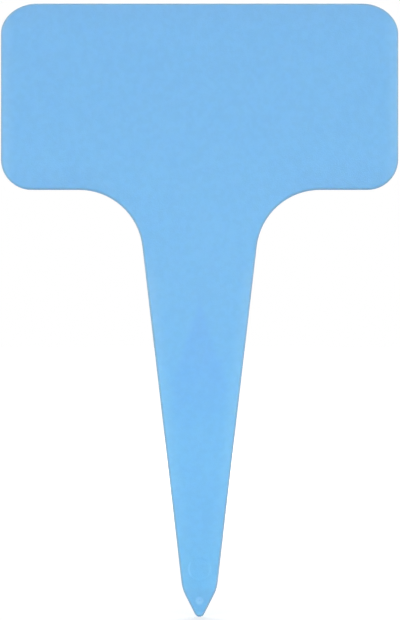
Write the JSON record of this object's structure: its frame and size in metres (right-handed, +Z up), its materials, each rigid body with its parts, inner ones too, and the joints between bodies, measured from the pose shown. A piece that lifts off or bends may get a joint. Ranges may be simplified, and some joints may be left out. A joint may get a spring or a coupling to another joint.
{
  "type": "plant label stake",
  "caption": "Flat T-shaped plastic plant label: a blank writing panel with rounded corners on a tapered, spined stem with a pointed tip that pushes into soil.",
  "frame": {"origin": "on the stem's centre line, halfway through the plate's thickness, at the soil line 45 mm above the tip", "axes": "+Z up from the tip to the panel, +X across the panel to the right as seen from the front, and the writing face looks along -Y"},
  "size_m": [0.0648, 0.0019, 0.1],
  "materials": {
    "blue_plastic": "satin, finely frosted moulded polypropylene, slightly translucent"
  },
  "bodies": {
    "root": {"label_stake": "blue_plastic"}
  },
  "joints": []
}
